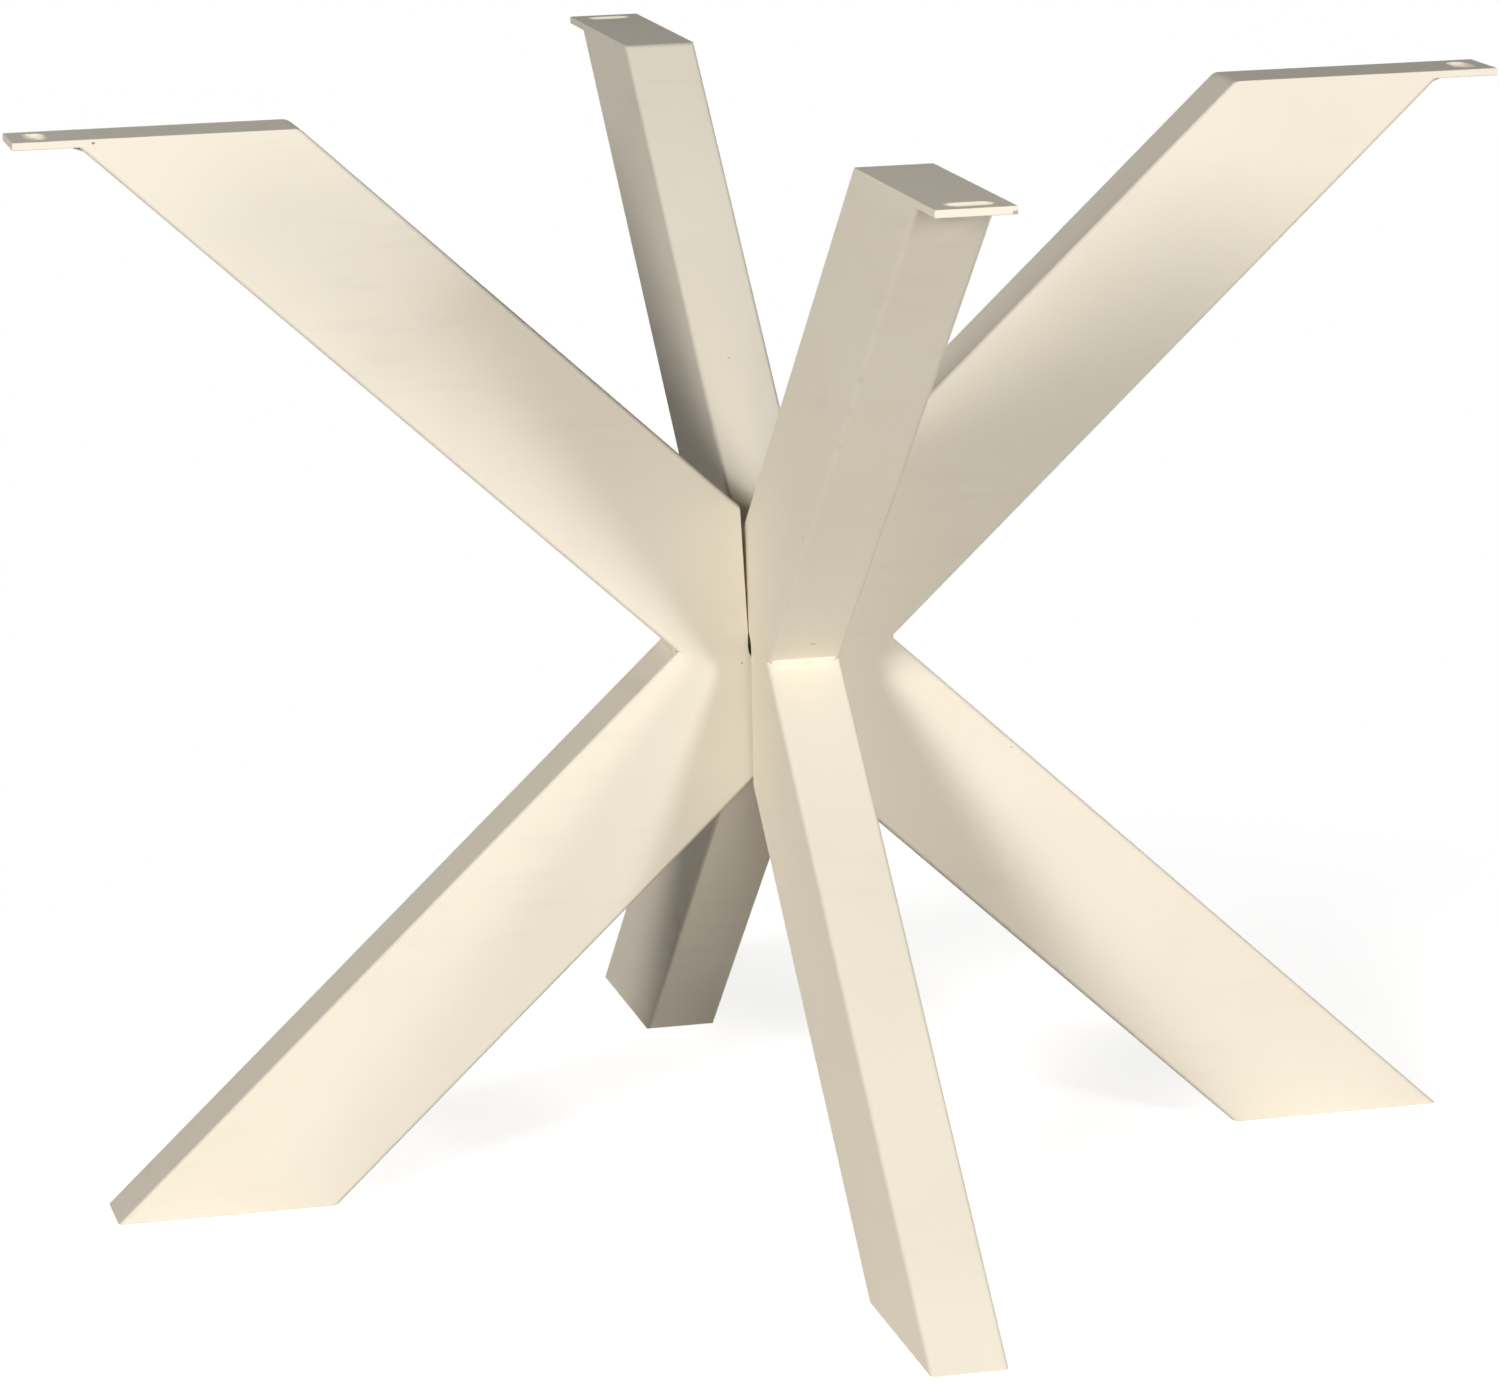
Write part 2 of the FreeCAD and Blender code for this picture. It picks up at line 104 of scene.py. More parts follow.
class Wiring:
    """Adds nodes to one tree and joins their sockets."""

    def __init__(self, tree: bpy.types.NodeTree) -> None:
        """Take the tree to wire.

        Args:
            tree: A material's, a world's or a group's own tree.
        """
        self.tree = tree

    def add(
        self, kind: str, inputs: dict[str | int, Any] | None = None, **settings: Any
    ) -> bpy.types.Node:
        """Add one node.

        Args:
            kind: The node's type, without its ShaderNode prefix.
            inputs: What goes into its sockets: a socket to join, or a value to set.
            settings: The node's own settings.

        Returns:
            The new node.
        """
        node = self.tree.nodes.new(f"ShaderNode{kind}")
        for name, setting in settings.items():
            setattr(node, name, setting)
        for name, source in (inputs or {}).items():
            if isinstance(source, bpy.types.NodeSocket):
                self.tree.links.new(source, node.inputs[name])
            else:
                node.inputs[name].default_value = source
        return node

    def math(self, operation: str, *terms: Any) -> bpy.types.NodeSocket:
        """Return the result of one Math node, from sockets or numbers."""
        return self.add("Math", dict(enumerate(terms)), operation=operation).outputs[0]

    def noise(self, vector: Any, size: Any, detail: float = 2.0, roughness: float = 0.5) -> Any:
        """Add a noise of a given coarseness.

        Args:
            vector: The coordinates that it reads.
            size: How far across its features are, in metres.
            detail: How many finer layers it has.
            roughness: How strong the finer layers are.

        Returns:
            Its value, about 0 to 1.
        """
        scale = self.math("DIVIDE", 1.0, size)
        inputs = {"Vector": vector, "Scale": scale, "Detail": detail, "Roughness": roughness}
        return self.add("TexNoise", inputs).outputs["Fac"]

    def ramp(self, value: Any, low: Any, high: Any) -> bpy.types.NodeSocket:
        """Return 0 below low and 1 above high, with a smooth step between them."""
        inputs = {"Value": value, "From Min": low, "From Max": high}
        return self.add("MapRange", inputs, interpolation_type="SMOOTHSTEP").outputs["Result"]

    def blend(self, mask: Any, below: Any, above: Any) -> bpy.types.NodeSocket:
        """Lay one colour over another.

        Args:
            mask: Where the upper colour shows, 0 to 1.
            below: The lower colour.
            above: The upper colour.

        Returns:
            The mixed colour.
        """
        node = self.add("Mix", data_type="RGBA")
        for socket, source in ((0, mask), (6, below), (7, above)):
            if isinstance(source, bpy.types.NodeSocket):
                self.tree.links.new(source, node.inputs[socket])
            else:
                node.inputs[socket].default_value = source
        return node.outputs[2]


class EffectGroup:
    """One reusable shader effect, kept as a node group with named sockets."""

    def __init__(
        self,
        name: str,
        takes: dict[str, str],
        gives: dict[str, str],
        wire: Callable[[Wiring, Any], dict[str, Any]],
    ) -> None:
        """Build the group.

        Args:
            name: The group's name.
            takes: Its inputs and their kinds, such as Float, Vector or Color.
            gives: Its outputs and their kinds.
            wire: Adds the nodes between, and returns what feeds each output.
        """
        self.tree = bpy.data.node_groups.new(name, "ShaderNodeTree")
        for direction, sockets in (("INPUT", takes), ("OUTPUT", gives)):
            for socket, kind in sockets.items():
                self.tree.interface.new_socket(
                    name=socket, in_out=direction, socket_type=f"NodeSocket{kind}"
                )
        wiring = Wiring(self.tree)
        entry = self.tree.nodes.new("NodeGroupInput")
        leaving = self.tree.nodes.new("NodeGroupOutput")
        for socket, source in wire(wiring, entry.outputs).items():
            self.tree.links.new(source, leaving.inputs[socket])

    def place(self, wiring: Wiring, inputs: dict[str, Any]) -> Any:
        """Place the group in another tree.

        Args:
            wiring: The tree that it goes into.
            inputs: What goes into its sockets.

        Returns:
            The placed node's outputs, by name.
        """
        node = wiring.tree.nodes.new("ShaderNodeGroup")
        node.node_tree = self.tree
        for name, source in inputs.items():
            if isinstance(source, bpy.types.NodeSocket):
                wiring.tree.links.new(source, node.inputs[name])
            else:
                node.inputs[name].default_value = source
        return node.outputs


def wire_peel(wiring: Wiring, given: Any) -> dict[str, Any]:
    """Wire the coat's relief: a fine grain over the shallow dimples of its peel.

    Args:
        wiring: The group's tree.
        given: The group's inputs.

    Returns:
        What feeds the group's outputs.
    """
    grain = wiring.noise(given["Vector"], given["Grain Size"], detail=1.0)
    dimples = wiring.noise(given["Vector"], given["Dimple Size"], detail=1.0)
    shallow = wiring.math("MULTIPLY", dimples, given["Dimple Depth"])
    return {"Height": wiring.math("MULTIPLY_ADD", grain, given["Grain Depth"], shallow)}


def wire_wave(wiring: Wiring, given: Any) -> dict[str, Any]:
    """Wire the slow waves that rolling and welding leave in a tube's walls.

    Args:
        wiring: The group's tree.
        given: The group's inputs.

    Returns:
        What feeds the group's outputs.
    """
    wave = wiring.noise(given["Vector"], given["Wave Size"], detail=0.5)
    return {"Height": wiring.math("MULTIPLY", wave, given["Wave Depth"])}


def wire_clouds(wiring: Wiring, given: Any) -> dict[str, Any]:
    """Wire the slow drift of the coat's tone between two colours.

    Args:
        wiring: The group's tree.
        given: The group's inputs.

    Returns:
        What feeds the group's outputs.
    """
    drift = wiring.noise(given["Vector"], given["Cloud Size"], detail=3.0)
    mask = wiring.ramp(drift, *CLOUD_SPAN)
    return {"Color": wiring.blend(mask, given["Light"], given["Dark"]), "Mask": mask}


def wire_wear(wiring: Wiring, given: Any) -> dict[str, Any]:
    """Wire the uneven thin coat along dressed edges.

    Args:
        wiring: The group's tree.
        given: The group's inputs.

    Returns:
        What feeds the group's outputs.
    """
    patches = wiring.noise(given["Vector"], given["Patch Size"], detail=3.0, roughness=0.6)
    worn = wiring.ramp(patches, given["Threshold"], WORN_FULLY)
    edge = wiring.ramp(given["Rim"], *RIM_SPAN)
    return {"Mask": wiring.math("MULTIPLY", edge, worn)}


def wire_smear(wiring: Wiring, given: Any) -> dict[str, Any]:
    """Wire faint smears that run across a tube, from hands and packing.

    Args:
        wiring: The group's tree.
        given: The group's inputs.

    Returns:
        What feeds the group's outputs.
    """
    squeezed = {0: given["Vector"], 1: given["Squeeze"]}
    stretched = wiring.add("VectorMath", squeezed, operation="MULTIPLY").outputs[0]
    streaks = wiring.noise(stretched, given["Smear Size"], detail=2.0)
    zones = wiring.noise(given["Vector"], given["Zone Size"], detail=1.0)
    here = wiring.ramp(zones, *SMEAR_ZONE_SPAN)
    return {"Mask": wiring.math("MULTIPLY", wiring.ramp(streaks, *SMEAR_SPAN), here)}


def wire_mark(wiring: Wiring, given: Any) -> dict[str, Any]:
    """Wire one small mark: a ragged spot about a point.

    Args:
        wiring: The group's tree.
        given: The group's inputs.

    Returns:
        What feeds the group's outputs.
    """
    away = wiring.add("VectorMath", {0: given["Vector"], 1: given["Place"]}, operation="SUBTRACT")
    shrunk = wiring.add("VectorMath", {0: away.outputs[0], 1: given["Reach"]}, operation="DIVIDE")
    distance = wiring.add("VectorMath", {0: shrunk.outputs[0]}, operation="LENGTH")
    ragged = wiring.noise(given["Vector"], MARK_RAGGEDNESS, detail=2.0)
    edge = wiring.math("ADD", distance.outputs["Value"], ragged)
    outside = wiring.ramp(edge, *MARK_EDGE)
    return {"Mask": wiring.math("SUBTRACT", 1.0, outside)}


@dataclass(frozen=True)
class Mark:
    """A small mark on the coat, with its reach along each axis."""

    place: Place
    reach: Place
    colour: Colour
    strength: float


@dataclass(frozen=True)
class PowderCoat:
    """The fine satin powder coat that covers the whole base. Lengths are in metres."""

    light: Colour = (0.855, 0.782, 0.642)
    dark: Colour = (0.830, 0.752, 0.612)
    thin: Colour = (0.640, 0.540, 0.430)
    smear: Colour = (0.640, 0.590, 0.490)
    gloss: float = 0.20
    roughness: float = 0.62
    smear_roughness: float = 0.70
    grain_size: float = 0.0011
    grain_depth: float = 0.000018
    dimple_size: float = 0.0042
    dimple_depth: float = 0.000045
    wave_size: float = 0.110
    wave_depth: float = 0.00045
    cloud_size: float = 0.16
    patch_size: float = 0.022
    wear_threshold: float = 0.50
    wear_strength: float = 0.12
    smear_strength: float = 0.10
    smear_size: float = 0.010
    smear_zone: float = 0.16
    smear_squeeze: Place = (0.16, 0.16, 1.0)
    rub_place: Place = (-0.025, -0.300, 0.580)
    rub_reach: float = 0.17
    rub_strength: float = 0.38
    marks: tuple[Mark, ...] = (
        Mark((-0.0301, -0.0250, 0.3499), (0.0010, 0.0010, 0.0006), (0.20, 0.15, 0.11), 0.75),
        Mark((0.0025, -0.0887, 0.3743), (0.0022, 0.0012, 0.0010), (0.36, 0.30, 0.24), 0.70),
        Mark((-0.0250, -0.1758, 0.4642), (0.0010, 0.0006, 0.0019), (0.36, 0.31, 0.25), 0.60),
        Mark((-0.0250, -0.1638, 0.4780), (0.0010, 0.0005, 0.0026), (0.40, 0.34, 0.27), 0.55),
        Mark((-0.0250, -0.1586, 0.5552), (0.0010, 0.0007, 0.0009), (0.40, 0.34, 0.27), 0.60),
        Mark((-0.1480, -0.0250, 0.4310), (0.0009, 0.0010, 0.0009), (0.45, 0.38, 0.30), 0.60),
        Mark((0.1550, -0.0250, 0.2784), (0.0009, 0.0010, 0.0009), (0.45, 0.38, 0.30), 0.60),
        Mark((-0.0030, 0.1100, 0.5305), (0.0011, 0.0009, 0.0009), (0.42, 0.35, 0.27), 0.60),
        Mark((-0.4456, -0.0250, 0.7175), (0.0013, 0.0010, 0.0009), (0.16, 0.12, 0.09), 0.85),
        Mark((0.0235, -0.4970, 0.7160), (0.0024, 0.0020, 0.0018), (0.34, 0.22, 0.14), 0.70),
    )

    def build(self) -> bpy.types.Material:
        """Build the coat's material.

        Returns:
            The material, ready for any piece of the base.
        """
        material = bpy.data.materials.new("cream_powder_coat")
        material.use_nodes = True
        material.node_tree.nodes.clear()
        wiring = Wiring(material.node_tree)
        where = wiring.add("TexCoord").outputs["Object"]
        colour, roughness = self.lay_tones(wiring, where)
        shader = wiring.add("BsdfPrincipled", {
            "Base Color": colour,
            "Roughness": roughness,
            "Specular IOR Level": self.gloss,
            "Normal": self.lay_relief(wiring, where),
        })
        wiring.add("OutputMaterial", {"Surface": shader.outputs["BSDF"]})
        return material

    def lay_tones(self, wiring: Wiring, where: Any) -> tuple[Any, Any]:
        """Lay the coat's tones, thin edges, smears and marks over each other.

        Args:
            wiring: The material's tree.
            where: The object's own coordinates.

        Returns:
            The colour and the roughness.
        """
        clouds = EffectGroup(
            "coat_clouds",
            {"Vector": "Vector", "Cloud Size": "Float", "Light": "Color", "Dark": "Color"},
            {"Color": "Color", "Mask": "Float"},
            wire_clouds,
        ).place(wiring, {
            "Vector": where, "Cloud Size": self.cloud_size,
            "Light": (*self.light, 1.0), "Dark": (*self.dark, 1.0),
        })
        smear = EffectGroup(
            "coat_smear",
            {"Vector": "Vector", "Squeeze": "Vector", "Smear Size": "Float", "Zone Size": "Float"},
            {"Mask": "Float"},
            wire_smear,
        ).place(wiring, {
            "Vector": where, "Squeeze": self.smear_squeeze,
            "Smear Size": self.smear_size, "Zone Size": self.smear_zone,
        })["Mask"]
        rim = wiring.add("Attribute", attribute_name="rim").outputs["Fac"]
        worn = EffectGroup(
            "coat_wear",
            {"Vector": "Vector", "Rim": "Float", "Patch Size": "Float", "Threshold": "Float"},
            {"Mask": "Float"},
            wire_wear,
        ).place(wiring, {
            "Vector": where, "Rim": rim,
            "Patch Size": self.patch_size, "Threshold": self.wear_threshold,
        })["Mask"]
        faint = wiring.math("MULTIPLY", smear, self.smear_strength)
        colour = wiring.blend(faint, clouds["Color"], (*self.smear, 1.0))
        away = wiring.add("VectorMath", {0: where, 1: self.rub_place}, operation="DISTANCE")
        beyond = wiring.ramp(away.outputs["Value"], 0.0, self.rub_reach)
        rubbed = wiring.math("SUBTRACT", 1.0, beyond)
        strength = wiring.math("MULTIPLY_ADD", rubbed, self.rub_strength, self.wear_strength)
        thin = wiring.math("MULTIPLY", worn, strength)
        colour = wiring.blend(thin, colour, (*self.thin, 1.0))
        spot = EffectGroup(
            "coat_mark",
            {"Vector": "Vector", "Place": "Vector", "Reach": "Vector"},
            {"Mask": "Float"},
            wire_mark,
        )
        for mark in self.marks:
            inputs = {"Vector": where, "Place": mark.place, "Reach": mark.reach}
            mask = spot.place(wiring, inputs)["Mask"]
            shown = wiring.math("MULTIPLY", mask, mark.strength)
            colour = wiring.blend(shown, colour, (*mark.colour, 1.0))
        inputs = {"Value": smear, "To Min": self.roughness, "To Max": self.smear_roughness}
        return colour, wiring.add("MapRange", inputs).outputs["Result"]

    def lay_relief(self, wiring: Wiring, where: Any) -> Any:
        """Lay the peel over the walls' slow waves.

        Args:
            wiring: The material's tree.
            where: The object's own coordinates.

        Returns:
            The shading normal.
        """
        wave = EffectGroup(
            "wall_wave",
            {"Vector": "Vector", "Wave Size": "Float", "Wave Depth": "Float"},
            {"Height": "Float"},
            wire_wave,
        ).place(wiring, {
            "Vector": where, "Wave Size": self.wave_size, "Wave Depth": self.wave_depth,
        })["Height"]
        peel = EffectGroup(
            "coat_peel",
            {
                "Vector": "Vector", "Grain Size": "Float", "Grain Depth": "Float",
                "Dimple Size": "Float", "Dimple Depth": "Float",
            },
            {"Height": "Float"},
            wire_peel,
        ).place(wiring, {
            "Vector": where, "Grain Size": self.grain_size, "Grain Depth": self.grain_depth,
            "Dimple Size": self.dimple_size, "Dimple Depth": self.dimple_depth,
        })["Height"]
        relief = wiring.math("ADD", wave, peel)
        return wiring.add("Bump", {"Height": relief, "Distance": 1.0}).outputs["Normal"]


@dataclass(frozen=True)
class Tube:
    """The rectangular tube of both frames and how steeply it lies."""

    depth: float = 0.100
    corner_radius: float = 0.003
    plate_thickness: float = 0.005

    @property
    def width(self) -> float:
        """Return the tube's narrow side."""
        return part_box("cradle_long_bar")[1].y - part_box("cradle_long_bar")[0].y

    @property
    def height(self) -> float:
        """Return the level of the plates' upper faces."""
        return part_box("cradle_plate_left")[1].z

    @property
    def spread(self) -> float:
        """Return the outer width of a frame across its feet."""
        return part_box("cradle_foot_right")[1].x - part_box("cradle_foot_left")[0].x

    @property
    def angle(self) -> float:
        """Return the bars' slope from level, in radians."""
        diagonal = math.hypot(self.spread, self.height)
        return math.atan(self.height / self.spread) + math.asin(self.depth / diagonal)

    @property
    def middle(self) -> float:
        """Return the level of the crossing."""
        return self.height / 2

    @property
    def level_half(self) -> float:
        """Return half the tube's depth, measured level."""
        return self.depth / 2 / math.sin(self.angle)

    @property
    def plumb_half(self) -> float:
        """Return half the tube's depth, measured plumb."""
        return self.depth / 2 / math.cos(self.angle)

    @property
    def ear_root(self) -> float:
        """Return how far out an arm's outer edge meets its plate."""
        rise = self.height - self.plate_thickness - self.middle
        return rise / math.tan(self.angle) + self.level_half


class Piece:
    """One finished mesh of a frame, made from a bmesh in the frame's own axes."""

    def __init__(self, name: str, lie: Lie, coat: bpy.types.Material) -> None:
        """Name the piece.

        Args:
            name: The piece's name, after its frame's.
            lie: The frame that it belongs to.
            coat: Its material.
        """
        self.name = f"{lie.value}_{name}"
        self.lie = lie
        self.coat = coat

    def finish(
        self, mesh: bmesh.types.BMesh, replaces: str | None = None, sharp: float = 40.0
    ) -> None:
        """Turn the bmesh into an object on the base, with its shading and its coat.

        Args:
            mesh: The shape, in the frame's own axes. It is freed.
            replaces: The node that the piece stands for, if it has one.
            sharp: Edges that turn by more than this many degrees stay sharp.
        """
        bmesh.ops.transform(mesh, matrix=self.lie.turn, verts=mesh.verts)
        mark_sharp(mesh, sharp)
        data = bpy.data.meshes.new(self.name)
        mesh.to_mesh(data)
        mesh.free()
        packed_normals = data.attributes.get("custom_normal")
        if packed_normals:
            data.attributes.remove(packed_normals)
        data.materials.append(self.coat)
        piece = bpy.data.objects.new(self.name, data)
        bpy.context.scene.collection.objects.link(piece)
        shading = piece.modifiers.new("shading", "WEIGHTED_NORMAL")
        shading.keep_sharp = True
        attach(piece, BODY)
        if replaces:
            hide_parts(replaces)
        log.info("%s: %d faces", self.name, len(data.polygons))


def node_copy(node: str, lie: Lie) -> bmesh.types.BMesh:
    """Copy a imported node's mesh, merged and with its flat faces whole.

    Args:
        node: The node's name.
        lie: The frame that it belongs to.

    Returns:
        The copy, in the frame's own axes.
    """
    mesh = bmesh.new()
    mesh.from_mesh(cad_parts[node].data)
    bmesh.ops.transform(mesh, matrix=lie.turn.inverted(), verts=mesh.verts)
    bmesh.ops.remove_doubles(mesh, verts=mesh.verts, dist=TOUCHING)
    bmesh.ops.dissolve_limit(
        mesh, angle_limit=math.radians(FLAT_TURN), verts=mesh.verts, edges=mesh.edges
    )
    return mesh


def is_sharp(edge: bmesh.types.BMEdge, least: float = 30.0) -> bool:
    """Return whether an edge turns by more than so many degrees."""
    return len(edge.link_faces) == 2 and edge.calc_face_angle() > math.radians(least)


def mark_sharp(mesh: bmesh.types.BMesh, least: float) -> None:
    """Shade a mesh smooth apart from its sharp edges.

    A sharp edge that runs out into a rounding also splits the rounding there. Otherwise the flat
    faces on its two sides would share a normal.

    Args:
        mesh: The mesh to mark.
        least: Edges that turn by more than this many degrees are sharp.
    """
    sharp = {edge for edge in mesh.edges if is_sharp(edge, least)}
    splits = set()
    for vert in mesh.verts:
        if len(sharp.intersection(vert.link_edges)) == 1:
            others = [edge for edge in vert.link_edges if edge not in sharp]
            soft = [edge for edge in others if is_sharp(edge, SOFT_TURN)]
            splits.update(sorted(soft, key=lambda edge: edge.calc_face_angle())[-1:])
    for edge in sharp | splits:
        edge.smooth = False
    for face in mesh.faces:
        face.smooth = True


def dress_edges(
    mesh: bmesh.types.BMesh,
    chosen: Callable[[bmesh.types.BMEdge], bool],
    radius: float,
    segments: int = 3,
) -> None:
    """Round the chosen sharp edges and note them in the rim attribute.

    Args:
        mesh: The mesh to change.
        chosen: Says of a sharp edge whether it is dressed.
        radius: How far back each edge is dressed.
        segments: How many faces make the rounding.
    """
    rim = mesh.verts.layers.float.get("rim") or mesh.verts.layers.float.new("rim")
    edges = [edge for edge in mesh.edges if is_sharp(edge) and chosen(edge)]
    made = bmesh.ops.bevel(
        mesh, geom=edges, offset=radius, offset_type="OFFSET", affect="EDGES",
        segments=segments, profile=0.5, material=-1, clamp_overlap=False,
    )
    rounding = set(made["faces"])
    for vert in made["verts"]:
        if rounding.issuperset(vert.link_faces):
            vert[rim] = 1.0


@dataclass
class CrossFrame:
    """One X frame: three bars, two plates, two feet, its beads and its flush seams."""

    lie: Lie
    coat: bpy.types.Material
    tube: Tube = field(default_factory=Tube)
    slot_reach: float = 0.040
    rim_radius: float = 0.0006
    ear_radius: float = 0.0006
    foot_radius: float = 0.0006
    foot_segments: int = 4
    corner_leg: float = 0.0025
    ear_leg: float = 0.005
    bead_sharp: float = 60.0

    def piece(self, name: str) -> Piece:
        """Start a piece of this frame."""
        return Piece(name, self.lie, self.coat)

    def node(self, name: str) -> str:
        """Return the full name of one of this frame's nodes."""
        return f"{self.lie.value}_{name}"

    def build(self) -> None:
        """Dress every part of the frame."""
        for name in ("long_bar", "upper_bar", "lower_bar"):
            self.dress_bar(name)
        for end in self.lie.ends:
            self.dress_plate(f"plate_{end}")
            self.dress_foot(f"foot_{end}")
        self.keep_liner()
        self.lay_corner_welds()
        self.lay_ear_welds()
        self.lay_flush_seams()

    def keep_liner(self) -> None:
        """Give the slot's liner its coat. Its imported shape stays."""
        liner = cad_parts[self.node("slot_liner")]
        for slot in liner.material_slots:
            slot.material = self.coat
        log.info("%s: coated", liner.name)

    def mark_corners(self, mesh: bmesh.types.BMesh) -> None:
        """Note the middle of the tube's rounded corners in the rim attribute.

        Args:
            mesh: A bar's copy.
        """
        rim = mesh.verts.layers.float.get("rim") or mesh.verts.layers.float.new("rim")
        half_width = self.tube.width / 2
        for vert in mesh.verts:
            inset = half_width - abs(vert.co.y)
            if TOUCHING < inset < self.tube.corner_radius - TOUCHING:
                vert[rim] = 1.0

    def dress_bar(self, name: str) -> None:
        """Dress the rim of the slot in one bar, on its broad faces.

        Args:
            name: The bar's name, after the frame's.
        """
        mesh = node_copy(self.node(name), self.lie)
        self.mark_corners(mesh)
        half_width = self.tube.width / 2

        def on_rim(edge: bmesh.types.BMEdge) -> bool:
            """Tell the slot's rim from the bar's other edges.

            Args:
                edge: One of the bar's sharp edges.

            Returns:
                Whether it lies on the rim.
            """
            return all(
                abs(abs(vert.co.y) - half_width) < TOUCHING and abs(vert.co.x) < self.slot_reach
                for vert in edge.verts
            )

        dress_edges(mesh, on_rim, self.rim_radius)
        self.piece(f"{name}_coat").finish(mesh, self.node(name))

    def dress_plate(self, name: str) -> None:
        """Dress a top plate all round, apart from where the arm is welded to it.

        Args:
            name: The plate's name, after the frame's.
        """
        mesh = node_copy(self.node(name), self.lie)
        side = 1 if name.endswith(self.lie.ends[1]) else -1
        seat = self.tube.height - self.tube.plate_thickness
        bmesh.ops.bisect_plane(
            mesh, geom=[*mesh.verts, *mesh.edges, *mesh.faces], dist=TOUCHING,
            plane_co=(side * self.tube.ear_root, 0, 0), plane_no=(1, 0, 0),
        )

        def free(edge: bmesh.types.BMEdge) -> bool:
            """Tell the plate's free edges from those that are welded to the arm.

            Args:
                edge: One of the plate's sharp edges.

            Returns:
                Whether it is free.
            """
            seated = all(abs(vert.co.z - seat) < TOUCHING for vert in edge.verts)
            inside = all(side * vert.co.x < self.tube.ear_root + TOUCHING for vert in edge.verts)
            return not (seated and inside)

        dress_edges(mesh, free, self.ear_radius)
        self.piece(f"{name}_coat").finish(mesh, self.node(name))

    def dress_foot(self, name: str) -> None:
        """Dress a foot plate's lower edges. Its upper edges are welded to the leg.

        Args:
            name: The foot's name, after the frame's.
        """
        mesh = node_copy(self.node(name), self.lie)

        def lower(edge: bmesh.types.BMEdge) -> bool:
            """Return whether an edge lies on the floor."""
            return all(vert.co.z < TOUCHING for vert in edge.verts)

        dress_edges(mesh, lower, self.foot_radius, self.foot_segments)
        self.piece(f"{name}_coat").finish(mesh, self.node(name))

    def lay_corner_welds(self) -> None:
        """Lay the beads in the three notches of the X."""
        steep = Vector((math.cos(self.tube.angle), 0, math.sin(self.tube.angle)))
        flat = Vector((steep.x, 0, -steep.z))
        closed = -self.lie.opens
        crossing = Vector((0, 0, self.tube.middle))
        aside = Vector((self.tube.level_half, 0, 0))
        down = Vector((0, 0, closed * self.tube.plumb_half))
        beads = [
            WeldBead(crossing + aside, steep, flat, self.corner_leg),
            WeldBead(crossing - aside, -steep, -flat, self.corner_leg),
            WeldBead(
                crossing + down,
                Vector((steep.x, 0, closed * steep.z)), Vector((-steep.x, 0, closed * steep.z)),
                self.corner_leg,
            ),
        ]
        self.lay_beads("corner_welds", beads)

    def lay_ear_welds(self) -> None:
        """Lay the beads under the two ears."""
        seat = self.tube.height - self.tube.plate_thickness
        beads = [
            WeldBead(
                Vector((side * self.tube.ear_root, 0, seat)),
                Vector((side, 0, 0)),
                Vector((-side * math.cos(self.tube.angle), 0, -math.sin(self.tube.angle))),
                self.ear_leg,
            )
            for side in (-1, 1)
        ]
        self.lay_beads("ear_welds", beads)

    def lay_beads(self, name: str, beads: list["WeldBead"]) -> None:
        """Join a group of beads into the piece that stands for their node.

        Args:
            name: The node's name, after the frame's.
            beads: The beads, in the frame's own axes.
        """
        mesh = bmesh.new()
        for bead in beads:
            bead.add_to(mesh, self.tube.width / 2 - self.tube.corner_radius)
        self.piece(f"{name}_beads").finish(mesh, self.node(name), self.bead_sharp)

    def lay_flush_seams(self) -> None:
        """Lay the ground-flush welds across the broad faces, where the half bars are coped."""
        seams = FlushSeam()
        inset = self.tube.depth / 2 - self.tube.corner_radius + seams.cope / 2
        reach = self.tube.depth / 2 - self.tube.corner_radius
        across = Vector((math.sin(self.tube.angle), 0, math.cos(self.tube.angle)))
        rising = Vector((-across.x, 0, across.z))
        for half, upper in (("upper", 1), ("lower", -1)):
            slotted = upper == self.lie.opens
            start = self.seam_point(across, rising, upper * inset, -upper * reach)
            stop = self.seam_point(across, rising, upper * inset, upper * reach)
            if slotted:
                share = (abs(start.x) - self.slot_side()) / (abs(start.x) + abs(stop.x))
                stop = start.lerp(stop, share)
            for face in (-1, 1):
                mesh = bmesh.new()
                seams.add_to(mesh, start, stop, face, self.tube.width / 2)
                side = "near" if face < 0 else "far"
                self.piece(f"{half}_seam_{side}").finish(mesh)

    def slot_side(self) -> float:
        """Find where a seam runs into the slot's rim.

        Returns:
            The rim's distance from the frame's upright middle line.
        """
        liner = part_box(self.node("slot_liner"))
        widest = liner[1].x if self.lie is Lie.CRADLE else liner[1].y
        return widest + self.rim_radius

    def seam_point(self, across: Vector, rising: Vector, out: float, along: float) -> Vector:
        """Return the point so far out across the long bar and so far across the half bar.

        Args:
            across: The long bar's own upward direction across its depth.
            rising: The half bar's own upward direction across its depth.
            out: The distance from the long bar's middle line.
            along: The distance from the half bar's middle line.

        Returns:
            The point, in the frame's own axes.
        """
        x = (out - along) / (2 * across.x)
        z = (out + along) / (2 * across.z)
        return Vector((x, 0, self.tube.middle + z))


